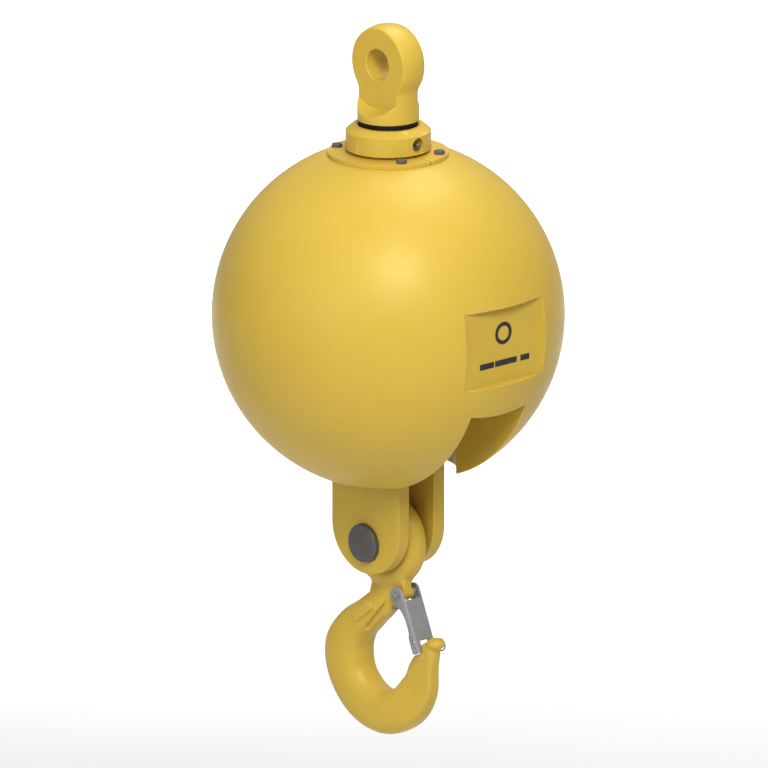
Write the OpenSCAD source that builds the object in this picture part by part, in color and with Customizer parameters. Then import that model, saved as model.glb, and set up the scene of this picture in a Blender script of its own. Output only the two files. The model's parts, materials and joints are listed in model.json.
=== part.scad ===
// Overhaul ball for a crane hoist line: a swivelling top eye on a thrust bearing,
// a cast ball weight, and a clevis that carries an eye hook with a lockable latch.
// Millimetres, +Z up. The origin is the centre of the top eye's bore.
// The bore, the clevis pin and the latch pivot all lie along Y. The hook opens to +X.

/* [Top eye] */
// Radius of the round head of the top eye
eye_r = 45; // [42:0.5:48]
// Thickness of the top eye between its two flats
eye_t = 34.4; // [30:0.2:38]
// Bore of the top eye, for a 34.9 mm rope socket pin
eye_bore = 36; // [34:0.5:38]
// Diameter of the shank under the eye
shank_d = 70.4; // [66:0.2:72]

/* [Ball] */
// Diameter of the ball weight
ball_d = 400; // [390:1:410]
// Drop from the top eye's bore to the ball's centre
ball_drop = 293.5; // [292:0.5:296]
// Height of the ball's flat top above its centre
ball_flat = 186; // [184:0.5:188]
// Distance of the label panel's flat from the ball's axis
panel_x = 185; // [183:0.5:187]
// Width and height of the label panel
panel_size = [123.4, 88.6];
// Width of the slot that the hook swings into
slot_w = 86.6; // [80:0.2:90]
// Diameter of the cavity around the clevis
cavity_d = 156.4; // [150:0.2:160]
// Depth of the slot's ceiling below the ball's centre
slot_drop = 79.8; // [76:0.2:84]

/* [Clevis and hook] */
// Width of a clevis ear
ear_w = 108.5; // [104:0.5:112]
// Thickness of a clevis ear
ear_t = 17.4; // [15:0.2:19]
// Gap between the clevis ears
ear_gap = 39; // [38:0.5:42]
// Diameter of the clevis pin
pin_d = 44.45; // [43:0.05:45]
// Diameter of the hook's eye hole
hook_hole = 50; // [49:0.5:52]

/* [Hidden] */
$fn = 96;
eps = 1;

yellow = [0.88, 0.72, 0.28];
steel = [0.55, 0.54, 0.53];
dark_steel = [0.28, 0.28, 0.29];
black = [0.05, 0.05, 0.06];
bronze = [0.72, 0.52, 0.28];

// Top eye and stem
flat_r = 52;
flat_flare_r = 61.8;
flat_cut = 30;
eye_chamfer = 1;
shank_z = -65.8;
stem_journal_r = 25;
stem_r = 22.5;
stem_step_z = -116;
stem_end_z = -194;
stem_chamfer = 2;
seal_r = 33.3;
seal_waist_r = 31.5;
seal_foot_r = 29;
seal_lip_r = 27.5;
seal_foot_z = -77.5;
seal_shoulder_z = -72.5;
seal_lip_z = -74.5;

// Bearing cap
cap_top_z = -71;
cap_lip = 1.5;
collar_r = 48.5;
collar_top_r = 40.4;
collar_chamfer_z = -78;
collar_bottom_z = -98.8;
cap_neck_r = 40;
cap_bottom_z = -140;
seal_bore_r = 34;
seal_floor_z = -78;
bush_r = 28;
bush_bottom_z = -113;
cap_throat_r = 25.8;
nipple_z = -88;
nipple_recess_r = 8.4;
nipple_recess_len = 20;
nipple_seat_x = 39.5;
nipple_thread_r = 3;
nipple_thread_len = 8;
nipple_bore_r = 0.9;
nipple_af = 9;
nipple_hex_h = 3.4;
nipple_neck_r = 2.4;
nipple_head_r = 3.3;
nipple_neck_end = 7.7;
nipple_head_end = 8.9;
nipple_tip_r = 1.6;
nipple_len = 11.1;
grease_port_r = 2;
grease_groove = 3;
o_ring_z = -118;
o_ring_r = 1.65;
o_ring_mid_r = 38.3;
groove_floor_r = 36.5;
groove_z = -119.8;
groove_h = 3.6;
lock_screw_z = -124;
lock_screw_r = 4;
lock_screw_seat = 36.5;
lock_screw_len = 12.4;
lock_screw_socket = 4;
running_fit = 0.05;

// Thrust bearing
upper_washer_t = 6;
roller_r = 3.95;
roller_len = 9;
roller_pitch_r = 30;
roller_count = 18;
race_gap = 8;
washer_r = 36.5;
lower_washer_r = 36;
washer_gap = 0.8;
cage_r = 35.8;
cage_bore_r = 23.8;
cage_half_t = 2.4;
race_z = cap_bottom_z - upper_washer_t;
cage_z = race_z - race_gap / 2;
lower_race_z = race_z - race_gap;
nut_top_z = lower_race_z - upper_washer_t;
nut_h = 28;
nut_r = 35;
nut_slot_w = 8;
nut_slot_h = 16;
nut_pin_r = 3;
nut_pin_z = nut_top_z - nut_h / 2;

// Barrel
barrel_r = 50;
barrel_overlap = 10;
barrel_gap = 1;
chamber_r = 38;
chamber_floor_z = -202;
thread_end_z = cap_bottom_z - 2;

// Retaining ring
ring_r = 68.7;
ring_bore_r = 40.8;
ring_top_z = -102.4;
ring_hub_r = 66;
ring_bottom_z = -114.4;
ring_clearance = 0.4;
ring_split = 2.5;
ring_bolt_pcd = 120;
ring_bolt_angles = [30, 150, 210, 330];
ring_bolt_r = 3.175;
ring_bolt_len = 32;
ring_bolt_af = 11.1;
bolt_head_h = 4;
bolt_clearance = 0.5;

// Ball, clevis and clevis pin
ball_z = -ball_drop;
ball_r = ball_d / 2;
flat_z = ball_z + ball_flat;
crown_z = ball_z - slot_drop;
pin_z = ball_z - 261.8;
ear_round_z = pin_z + 17.5;
ear_half_gap = ear_gap / 2;
ear_face = ear_half_gap + ear_t;
crotch_z = ball_z - 150;
pin_r = pin_d / 2;
pin_front_y = -(ear_face + 6.2);
pin_rear_y = ear_face + 10;
pin_chamfer = 1.4;
keeper_t = 6;
keeper_slack = 0.3;
keeper_half_w = 36;
keeper_bolt_x = 24;
keeper_bolt_up = 32;
keeper_low = 15;
keeper_high = 44;
keeper_bolt_r = 5;
keeper_bolt_len = 19;
keeper_bolt_af = 17;
keeper_bolt_head_h = 6.4;

// Hook: positions are from the clevis pin's axis
hook_drop = (hook_hole - pin_d) / 2 - 0.3;
eye_tube_r = 15;
eye_mid_r = hook_hole / 2 + eye_tube_r;
// x, z, half width in the hook's plane, half thickness along Y, squareness
HOOK_STATIONS = [
    [0, -44, 19, 15, 2.2],
    [0, -60, 18.3, 17.5, 2.2],
    [-7, -76, 18.4, 18.5, 2.3],
    [-27.3, -94.6, 19.4, 20.5, 2.4],
    [-50.4, -115, 23.3, 22.5, 2.5],
    [-63, -142, 28.6, 23.5, 2.5],
    [-56.2, -173, 27.5, 23.5, 2.5],
    [-31.2, -198, 26.8, 23, 2.5],
    [1, -206, 25.9, 22, 2.5],
    [31.5, -193, 25, 17, 3],
    [51.2, -168.8, 23.2, 11, 3.8],
    [58.3, -147, 18.8, 9.8, 4],
    [62.5, -135, 15.6, 9.2, 3.6],
    [66.3, -126, 12.8, 9.2, 3],
    [70.3, -119, 10.8, 9.6, 2.4],
    [74.3, -112.5, 11.2, 11.2, 2.1],
    [77, -107, 8.6, 9, 2],
    [78.6, -104, 3.5, 4, 2]
];
hook_steps = 4;
hook_sides = 24;
lug_front_y = -10;
lug_rear_y = 3;
boss_r = 7.2;
boss_front_y = -11.5;
boss_rear_y = 7;

// Latch: u runs down along the latch from its pivot, n points out of its web
latch_x = 28;
latch_z = -61;
latch_tilt = 22;
latch_half_w = 15;
latch_t = 3;
latch_bend_r = 3.5;
latch_ear_r = 10;
web_n = 11.1;
web_top_u = 8.5;
latch_end_u = 70;
notch_u = 56.5;
notch_half_w = 7.6;
seat_gap = 0.4;
nib_half_w = 6.9;
nib_n = 4.6;
pivot_r = 3;
latch_pin_end = 20.5;
latch_pin_dimple_r = 1.4;
latch_pin_head_r = 4.6;
pin_head_gap = 0.3;
latch_pin_head_y = 18.6;
clip_y = -16.6;
clip_t = 1.2;
clip_groove_r = 2.3;
clip_mouth = 3.2;
drain_n = 6.4;
drain_u = 56;
drain_r = 2;
lock_u = 66.5;
lock_n = 5.9;
lock_r = 3;
lock_front_y = -17.6;
lock_head_y = 15.3;
lock_head_r = 4.4;
lock_head_t = 2.4;
lock_tail_y = 22.7;
lock_tail_r = 2.2;
ring_hole_y = 20;
ring_hole_r = 1.3;
spring_wire_r = 0.7;
spring_coil_r = 6.6;
spring_y0 = 8.2;
spring_rise = 2.2;
spring_sweep = 515;
spring_points = 26;
pull_ring_r = 6.8;
pull_wire_r = 0.8;
pull_ring_angle = 20;

// ---------- shared shapes ----------

// A rod along Y from y0 to y1
module rod_y(r, y0, y1, x = 0, z = 0) {
    translate([x, y0, z]) rotate([-90, 0, 0]) cylinder(r = r, h = y1 - y0);
}

// A hexagon head or nut across flats af, standing on z = 0
module hex(af, h) {
    cylinder(d = af / cos(30), h = h, $fn = 6);
}

// A hexagon head bolt: the head sits on z = 0 and the shank points down
module hex_bolt(r, len, af, head_h) {
    intersection() {
        hex(af, head_h);
        cylinder(r1 = af, r2 = af / 2 - 0.2, h = head_h + af * 0.02);
    }
    translate([0, 0, -len]) cylinder(r = r, h = len + head_h / 2);
}

module at_ring_bolts() {
    for (a = ring_bolt_angles)
        rotate([0, 0, a]) translate([ring_bolt_pcd / 2, 0, 0]) children();
}

module at_hook() {
    translate([0, 0, pin_z]) children();
}

// The latch's own frame: x = n, y = the pivot axis, z = -u
module at_latch() {
    at_hook() translate([latch_x, 0, latch_z]) rotate([0, -latch_tilt, 0]) children();
}

// A washer or ring about Z
module ring(r_out, r_in, z0, z1) {
    difference() {
        translate([0, 0, z0]) cylinder(r = r_out, h = z1 - z0);
        translate([0, 0, z0 - eps]) cylinder(r = r_in, h = z1 - z0 + 2 * eps);
    }
}

// ---------- sweeps ----------

function catmull(a, b, c, d, t) =
    0.5 * (2 * b + (c - a) * t + (2 * a - 5 * b + 4 * c - d) * t * t
        + (3 * b - a - 3 * c + d) * t * t * t);

function smooth(s, steps) = [
    for (i = [0 : len(s) - 2])
        for (k = [0 : steps - 1])
            catmull(s[max(i - 1, 0)], s[i], s[i + 1], s[min(i + 2, len(s) - 1)], k / steps),
    s[len(s) - 1]
];

// A signed power, for a squared-off ellipse
function spow(v, p) = sign(v) * pow(abs(v), p);

// Joins rings of points, all of the same length, into one closed solid
module skin(rings) {
    m = len(rings[0]);
    n = len(rings);
    points = [for (r = rings) for (p = r) p];
    sides = [
        for (i = [0 : n - 2])
            for (j = [0 : m - 1])
                let (a = i * m + j, b = i * m + (j + 1) % m)
                    for (f = [[a, b, b + m], [a, b + m, a + m]]) f
    ];
    start_cap = [for (j = [1 : m - 2]) [0, j + 1, j]];
    end_cap = [for (j = [1 : m - 2]) [(n - 1) * m, (n - 1) * m + j, (n - 1) * m + j + 1]];
    polyhedron(points, concat(sides, start_cap, end_cap));
}

// One ring of the hook, square to its centre line
function hook_ring(s, dir) =
    let (n = [-dir[1], dir[0]] / norm(dir))
    [for (j = [0 : hook_sides - 1])
        let (a = 360 * j / hook_sides,
             u = s[2] * spow(cos(a), 2 / s[4]),
             v = s[3] * spow(sin(a), 2 / s[4]))
        [s[0] + u * n[0], v, s[1] + u * n[1]]];

module hook_body() {
    line = smooth(HOOK_STATIONS, hook_steps);
    last = len(line) - 1;
    skin([for (i = [0 : last])
        let (a = line[max(i - 1, 0)], b = line[min(i + 1, last)])
        hook_ring(line[i], [b[0] - a[0], b[1] - a[1]])]);
}

// A round wire of radius r through a list of points
module wire(path, r, sides = 8) {
    last = len(path) - 1;
    skin([for (i = [0 : last])
        let (a = path[max(i - 1, 0)], b = path[min(i + 1, last)],
             d = (b - a) / norm(b - a),
             side = cross(d, abs(d[2]) > 0.9 ? [1, 0, 0] : [0, 0, 1]),
             e1 = side / norm(side),
             e2 = cross(e1, d))
        [for (j = [0 : sides - 1])
            let (t = 360 * j / sides)
            path[i] + r * (cos(t) * e1 + sin(t) * e2)]]);
}

// ---------- top eye and thrust bearing ----------

module swivel_eye() {
    color(yellow) difference() {
        union() {
            sphere(r = eye_r);
            translate([0, 0, shank_z]) cylinder(d = shank_d, h = -shank_z);
            translate([0, 0, stem_step_z]) cylinder(r = stem_journal_r, h = shank_z - stem_step_z + eps);
            translate([0, 0, stem_end_z + stem_chamfer]) cylinder(r = stem_r, h = stem_step_z - stem_end_z);
            translate([0, 0, stem_end_z])
                cylinder(r1 = stem_r - stem_chamfer, r2 = stem_r, h = stem_chamfer);
        }
        for (side = [-1, 1]) scale([1, side, 1])
            translate([0, eye_t / 2, 0]) rotate([-90, 0, 0])
                cylinder(r1 = flat_r, r2 = flat_flare_r, h = flat_cut);
        rod_y(eye_bore / 2, -eye_t, eye_t);
        for (side = [-1, 1]) scale([1, side, 1])
            translate([0, eye_t / 2 - eye_chamfer, 0]) rotate([-90, 0, 0])
                cylinder(r1 = eye_bore / 2, r2 = eye_bore / 2 + 2 * eye_chamfer, h = 2 * eye_chamfer);
        rod_y(nut_pin_r, -nut_r, nut_r, z = nut_pin_z);
    }
}

module shaft_seal() {
    color(black) rotate_extrude() polygon([
        [stem_journal_r, shank_z], [seal_r, shank_z], [seal_r, seal_shoulder_z],
        [seal_waist_r, seal_foot_z], [seal_foot_r, seal_foot_z], [seal_lip_r, seal_lip_z],
        [stem_journal_r, seal_lip_z]
    ]);
}

module lower_thrust_washer() {
    color(steel) ring(lower_washer_r, stem_r, nut_top_z, lower_race_z);
}

module stem_nut() {
    color(steel) difference() {
        ring(nut_r, stem_r, nut_top_z - nut_h, nut_top_z);
        for (a = [45 : 90 : 315]) rotate([0, 0, a])
            translate([nut_r, 0, nut_top_z - nut_h]) cube([nut_slot_w, nut_slot_w, nut_slot_h], center = true);
        rod_y(nut_pin_r, -nut_r - eps, nut_r + eps, z = nut_pin_z);
    }
}

module nut_lock_pin() {
    color(dark_steel) rod_y(nut_pin_r, 1 - nut_r, nut_r - 1, z = nut_pin_z);
}

module at_rollers() {
    for (i = [0 : roller_count - 1])
        rotate([0, 0, 360 * i / roller_count]) translate([roller_pitch_r, 0, cage_z])
            rotate([0, 90, 0]) children();
}

module roller_cage() {
    color(bronze) difference() {
        ring(cage_r, cage_bore_r, cage_z - cage_half_t, cage_z + cage_half_t);
        at_rollers() cube([2 * roller_r, 2 * roller_r + 0.3, roller_len + 0.4], center = true);
    }
}

module thrust_rollers() {
    color(steel) at_rollers() cylinder(r = roller_r, h = roller_len, center = true, $fn = 48);
}

// ---------- bearing cap and barrel ----------

module bearing_cap() {
    color(yellow) difference() {
        rotate_extrude() polygon([
            [seal_bore_r, cap_top_z - cap_lip], [seal_bore_r + cap_lip, cap_top_z],
            [collar_top_r, cap_top_z], [collar_r, collar_chamfer_z],
            [collar_r, collar_bottom_z], [cap_neck_r, collar_bottom_z],
            [cap_neck_r, cap_bottom_z + 2], [cap_neck_r - 2, cap_bottom_z], [cap_throat_r, cap_bottom_z],
            [cap_throat_r, bush_bottom_z], [bush_r, bush_bottom_z], [bush_r, seal_floor_z],
            [seal_bore_r, seal_floor_z]
        ]);
        translate([nipple_seat_x, 0, nipple_z]) rotate([0, 90, 0])
            cylinder(r = nipple_recess_r, h = nipple_recess_len);
        translate([bush_r - eps, 0, nipple_z]) rotate([0, 90, 0])
            cylinder(r = nipple_thread_r, h = nipple_seat_x - bush_r + 2 * eps);
        cap_groove();
        at_lock_screw() cylinder(r = lock_screw_r, h = 2 * lock_screw_len);
    }
}

// The screw that locks the cap in the barrel lies along +Y
module at_lock_screw() {
    translate([0, lock_screw_seat, lock_screw_z]) rotate([-90, 0, 0]) children();
}

// The O-ring's groove in the cap, just above the thread's end
module cap_groove() {
    rotate_extrude() translate([groove_floor_r, groove_z])
        square([2 * (cap_neck_r - groove_floor_r), groove_h]);
}

module cap_o_ring() {
    color(black) rotate_extrude() translate([o_ring_mid_r, o_ring_z]) circle(r = o_ring_r, $fn = 32);
}

module stem_bush() {
    color(bronze) difference() {
        ring(bush_r, stem_journal_r + running_fit, bush_bottom_z, seal_floor_z);
        translate([stem_journal_r - eps, 0, nipple_z]) rotate([0, 90, 0])
            cylinder(r = grease_port_r, h = bush_r - stem_journal_r + 2 * eps);
        rotate_extrude() translate([stem_journal_r - eps, nipple_z - grease_groove / 2])
            square([2 * eps, grease_groove]);
    }
}

module upper_thrust_washer() {
    color(steel) ring(washer_r, stem_r + washer_gap, race_z, cap_bottom_z);
}

module cap_lock_screw() {
    color(dark_steel) at_lock_screw() difference() {
        cylinder(r = lock_screw_r, h = lock_screw_len);
        translate([0, 0, lock_screw_len - lock_screw_socket]) hex(lock_screw_socket, lock_screw_socket + eps);
    }
}

module grease_nipple() {
    color(dark_steel) translate([nipple_seat_x, 0, nipple_z]) rotate([0, 90, 0]) difference() {
        union() {
            translate([0, 0, -nipple_thread_len]) cylinder(r = nipple_thread_r, h = nipple_thread_len + eps);
            hex(nipple_af, nipple_hex_h);
            cylinder(r = nipple_neck_r, h = nipple_head_end);
            translate([0, 0, nipple_neck_end])
                cylinder(r1 = nipple_neck_r, r2 = nipple_head_r, h = nipple_head_end - nipple_neck_end);
            translate([0, 0, nipple_head_end])
                cylinder(r1 = nipple_head_r, r2 = nipple_tip_r, h = nipple_len - nipple_head_end);
        }
        translate([0, 0, -nipple_thread_len - eps])
            cylinder(r = nipple_bore_r, h = nipple_thread_len + nipple_len + 2 * eps);
    }
}

module clevis_body() {
    color(yellow) difference() {
        union() {
            translate([0, 0, crown_z - barrel_overlap])
                cylinder(r = barrel_r, h = ring_bottom_z - crown_z + barrel_overlap);
            translate([-ear_w / 2, -ear_face, ear_round_z])
                cube([ear_w, 2 * ear_face, crown_z - ear_round_z]);
            rod_y(ear_w / 2, -ear_face, ear_face, z = ear_round_z);
        }
        translate([0, 0, thread_end_z]) cylinder(r = cap_neck_r, h = ring_bottom_z - thread_end_z + eps);
        translate([0, 0, chamber_floor_z]) cylinder(r = chamber_r, h = ring_bottom_z - chamber_floor_z);
        translate([-ear_w, -ear_half_gap, ear_round_z - ear_w])
            cube([2 * ear_w, ear_gap, crotch_z - ear_half_gap - ear_round_z + ear_w]);
        translate([-ear_w, 0, crotch_z - ear_half_gap]) rotate([0, 90, 0])
            cylinder(r = ear_half_gap, h = 2 * ear_w);
        rod_y(pin_r + running_fit, -ear_face - eps, ear_face + eps, z = pin_z);
        at_lock_screw() cylinder(r = lock_screw_r, h = 2 * lock_screw_len);
        at_keeper_bolts() cylinder(r = keeper_bolt_r, h = 2 * (keeper_t + ear_t - 1), center = true);
    }
}

// ---------- ball and retaining ring ----------

module ball_weight() {
    color(yellow) difference() {
        translate([0, 0, ball_z]) sphere(r = ball_r, $fn = 128);
        translate([0, 0, flat_z]) cylinder(r = ball_r / 2, h = ball_r);
        translate([0, 0, ring_bottom_z - ring_clearance])
            cylinder(r = ring_hub_r + ring_clearance, h = ball_r / 2);
        translate([0, 0, crown_z - eps]) cylinder(r = barrel_r + barrel_gap, h = ball_d);
        translate([0, 0, ball_z - ball_r - eps]) cylinder(d = cavity_d, h = crown_z - ball_z + ball_r + eps);
        translate([0, -slot_w / 2, ball_z - ball_r - eps])
            cube([ball_r + eps, slot_w, crown_z - ball_z + ball_r + eps]);
        translate([panel_x, -panel_size[0] / 2, ball_z - panel_size[1] / 2])
            cube([ball_r, panel_size[0], panel_size[1]]);
        at_ring_bolts() translate([0, 0, ring_top_z - ring_bolt_len - ring_bolt_r])
            cylinder(r = ring_bolt_r, h = ring_bolt_len);
    }
}

// One half of the ring that locks the ball under the cap's collar; side is -1 or 1
module retaining_ring_half(side) {
    color(yellow) difference() {
        union() {
            ring(ring_r, ring_bore_r, flat_z, ring_top_z);
            ring(ring_hub_r, ring_bore_r, ring_bottom_z, flat_z);
        }
        translate([-ball_r, side > 0 ? ring_split / 2 - ball_d : -ring_split / 2, ring_bottom_z - eps])
            cube([ball_d, ball_d, ring_top_z - ring_bottom_z + 2 * eps]);
        at_ring_bolts() translate([0, 0, ring_bottom_z - eps])
            cylinder(r = ring_bolt_r + bolt_clearance, h = ring_top_z - ring_bottom_z + 2 * eps);
    }
}

module retaining_ring_front() {
    retaining_ring_half(-1);
}

module retaining_ring_rear() {
    retaining_ring_half(1);
}

module ring_bolts() {
    color(dark_steel) at_ring_bolts() translate([0, 0, ring_top_z])
        hex_bolt(ring_bolt_r, ring_bolt_len, ring_bolt_af, bolt_head_h);
}

// ---------- clevis pin ----------

module at_keeper_bolts() {
    for (x = [-keeper_bolt_x, keeper_bolt_x])
        translate([x, ear_face + keeper_t, pin_z + keeper_bolt_up]) rotate([-90, 0, 0]) children();
}

module clevis_pin() {
    color(dark_steel) difference() {
        union() {
            rod_y(pin_r, pin_front_y + pin_chamfer, pin_rear_y - pin_chamfer, z = pin_z);
            translate([0, pin_front_y, pin_z]) rotate([-90, 0, 0])
                cylinder(r1 = pin_r - pin_chamfer, r2 = pin_r, h = pin_chamfer);
            translate([0, pin_rear_y - pin_chamfer, pin_z]) rotate([-90, 0, 0])
                cylinder(r1 = pin_r, r2 = pin_r - pin_chamfer, h = pin_chamfer);
        }
        translate([-pin_r, ear_face, pin_z + keeper_low]) cube([2 * pin_r, keeper_t + keeper_slack, pin_r]);
    }
}

module pin_keeper_plate() {
    color(dark_steel) difference() {
        translate([-keeper_half_w, ear_face, pin_z + keeper_low])
            cube([2 * keeper_half_w, keeper_t, keeper_high - keeper_low]);
        at_keeper_bolts() cylinder(r = keeper_bolt_r + bolt_clearance, h = 4 * keeper_t, center = true);
    }
}

module keeper_bolts() {
    color(dark_steel) at_keeper_bolts()
        hex_bolt(keeper_bolt_r, keeper_bolt_len, keeper_bolt_af, keeper_bolt_head_h);
}

// ---------- hook ----------

module load_hook() {
    color(yellow) difference() {
        union() {
            at_hook() hook_body();
            at_hook() translate([0, 0, -hook_drop]) rotate([90, 0, 0])
                rotate_extrude() translate([eye_mid_r, 0]) circle(r = eye_tube_r, $fn = 48);
            hook_lug();
            hook_nib();
        }
        latch_seat();
        at_latch() rod_y(pivot_r, -30, 30);
    }
}

// The lug that carries the latch, between the eye and the throat
module hook_lug() {
    at_hook() translate([0, lug_rear_y, 0]) rotate([90, 0, 0])
        linear_extrude(lug_rear_y - lug_front_y)
            polygon([[0, -40], [33, -40], [latch_x + boss_r, -46], [latch_x + boss_r, latch_z],
                [latch_x + 4, latch_z - 6], [latch_x - 1, latch_z - 7], [15.3, -82.5], [5, -91.5],
                [-6, -85]]);
    at_latch() rod_y(boss_r, boss_front_y, boss_rear_y);
}

// The nib on the tip, which the lock pin bears against through the latch's notch
module hook_nib() {
    at_latch() translate([nib_n, -nib_half_w, -latch_end_u - 1]) cube([16, 2 * nib_half_w, 9.5]);
}

// The flats on the tip where the latch rests, and the saddle for the lock pin
module latch_seat() {
    at_latch() {
        for (side = [-1, 1]) scale([1, side, 1])
            translate([-8, nib_half_w, -latch_end_u - 1.2])
                cube([8 + web_n + seat_gap, 30, 20.2]);
        translate([-8, -nib_half_w - eps, -latch_end_u - 1.2])
            cube([8 + nib_n, 2 * (nib_half_w + eps), 20.2]);
        translate([-8, -nib_half_w - eps, -61.5]) cube([8 + web_n + seat_gap, 2 * (nib_half_w + eps), 10]);
        rod_y(lock_r + 0.4, -30, 30, x = lock_n, z = -lock_u);
    }
}

// ---------- latch ----------

// Outline of a side plate: x = n, y = -u
module latch_side_outline() {
    circle(r = latch_ear_r);
    polygon([
        [-7.4, -6.7], [-1.6, -15], [0.8, -19], [2.4, -24], [3.6, -31], [3.9, -38], [3.4, -45],
        [1.2, -50], [0.8, -54], [0.8, -68], [2.8, -latch_end_u], [web_n, -latch_end_u],
        [web_n, -web_top_u], [latch_ear_r, 0], [0, 0]
    ]);
}

// Cross section of the channel: x = n, y = the pivot axis
module latch_channel_outline() {
    inner_r = 1;
    difference() {
        union() {
            translate([-12, -latch_half_w]) square([12 + web_n - latch_bend_r, 2 * latch_half_w]);
            translate([-12, latch_bend_r - latch_half_w])
                square([12 + web_n, 2 * (latch_half_w - latch_bend_r)]);
            for (side = [-1, 1])
                translate([web_n - latch_bend_r, side * (latch_half_w - latch_bend_r)])
                    circle(r = latch_bend_r, $fn = 48);
        }
        translate([-13, latch_t - latch_half_w])
            square([13 + web_n - latch_t - inner_r, 2 * (latch_half_w - latch_t)]);
        translate([-13, latch_t - latch_half_w + inner_r])
            square([13 + web_n - latch_t, 2 * (latch_half_w - latch_t - inner_r)]);
        for (side = [-1, 1])
            translate([web_n - latch_t - inner_r, side * (latch_half_w - latch_t - inner_r)])
                circle(r = inner_r, $fn = 32);
    }
}

module latch_plate() {
    color(steel) at_latch() difference() {
        intersection() {
            translate([0, 0, -latch_end_u]) linear_extrude(latch_end_u + 12) latch_channel_outline();
            translate([0, 20, 0]) rotate([90, 0, 0]) linear_extrude(40) latch_side_outline();
        }
        translate([0, latch_t - latch_half_w, -web_top_u]) cube([20, 2 * (latch_half_w - latch_t), 30]);
        translate([4, -notch_half_w, -latch_end_u - eps])
            cube([20, 2 * notch_half_w, latch_end_u - notch_u + eps]);
        rod_y(pivot_r + running_fit, -20, 20);
        rod_y(lock_r + running_fit, -20, 20, x = lock_n, z = -lock_u);
        rod_y(drain_r, -20, 20, x = drain_n, z = -drain_u);
    }
}

module latch_pivot_pin() {
    color(steel) at_latch() difference() {
        union() {
            rod_y(pivot_r, -latch_pin_end, latch_pin_head_y);
            rod_y(latch_pin_head_r, latch_half_w + pin_head_gap, latch_pin_head_y);
        }
        rod_y(latch_pin_dimple_r, -latch_pin_end - eps, -latch_pin_end + pivot_r);
        clip_ring(pivot_r + eps);
    }
}

// A ring of the clip's thickness, down to the floor of the pivot pin's groove
module clip_ring(r) {
    difference() {
        rod_y(r, clip_y, clip_y + clip_t);
        rod_y(clip_groove_r, clip_y - eps, clip_y + clip_t + eps);
    }
}

module pivot_pin_clip() {
    color(steel) at_latch() difference() {
        clip_ring(latch_pin_head_r);
        translate([-clip_mouth / 2, clip_y - eps, 0]) cube([clip_mouth, clip_t + 2 * eps, 10]);
    }
}

// Torsion spring: a leg under the web, a turn and a half about the pivot, then a leg that
// crosses under the hook's neck and turns up on its near side
module latch_spring() {
    web_leg = [[7.3, spring_y0, -26], [7.2, spring_y0, -16], [6.8, spring_y0, -6]];
    coil = [for (i = [0 : spring_points])
        let (a = spring_sweep * i / spring_points)
        [spring_coil_r * cos(a), spring_y0 + spring_rise * i / spring_points,
            spring_coil_r * sin(a)]];
    far_y = spring_y0 + spring_rise;
    neck_leg = [[-9.5, far_y, -4.8], [-13, far_y, -12.6], [-13.7, far_y - 1.4, -13.9], [-13.7, 0, -13.9],
        [-13.7, -11.6, -13.9], [-13.4, -12.8, -12.8], [-11.4, -12.8, -8.9]];
    color(steel) at_latch() wire(concat(web_leg, coil, neck_leg), spring_wire_r);
}

// ---------- lock pin ----------

module lock_pin() {
    color(steel) at_latch() translate([lock_n, 0, -lock_u]) difference() {
        union() {
            rod_y(lock_r, lock_front_y + 1, lock_head_y);
            translate([0, lock_front_y, 0]) rotate([-90, 0, 0]) cylinder(r1 = lock_r - 1, r2 = lock_r, h = 1);
            rod_y(lock_head_r, lock_head_y, lock_head_y + lock_head_t);
            rod_y(lock_tail_r, lock_head_y, lock_tail_y);
        }
        translate([0, ring_hole_y, 0]) rotate([0, pull_ring_tilt(), 0])
            cylinder(r = ring_hole_r, h = 4 * lock_tail_r, center = true);
    }
}

// The pull ring's hole stands square to the line from the pin to the ring's centre
function pull_ring_tilt() = latch_tilt - pull_ring_angle;

module pull_ring() {
    color(steel) at_latch() translate([lock_n, ring_hole_y, -lock_u]) rotate([0, pull_ring_tilt(), 0])
        translate([pull_ring_r, 0, 0]) rotate([90, 0, 0])
            rotate_extrude() translate([pull_ring_r, 0]) circle(r = pull_wire_r, $fn = 24);
}

swivel_eye();
shaft_seal();
lower_thrust_washer();
stem_nut();
nut_lock_pin();
roller_cage();
thrust_rollers();
clevis_body();
bearing_cap();
stem_bush();
upper_thrust_washer();
cap_o_ring();
cap_lock_screw();
grease_nipple();
ball_weight();
retaining_ring_front();
retaining_ring_rear();
ring_bolts();
clevis_pin();
pin_keeper_plate();
keeper_bolts();
load_hook();
latch_pivot_pin();
pivot_pin_clip();
latch_plate();
latch_spring();
lock_pin();
pull_ring();
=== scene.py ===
"""The looks of a crane overhaul ball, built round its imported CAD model.

The castings and forgings (top eye, ball, clevis, hook) and the pressed latch plate are made
here as smooth solids whose edges and corners are rounded as paint, forging and bending leave
them. Each is given by a field: a function that is negative inside the solid and positive
outside. The turned parts, rings and bolts are the CAD parts with their edges eased. All sizes
are metres in the CAD frame.
"""

import json
import math

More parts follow.
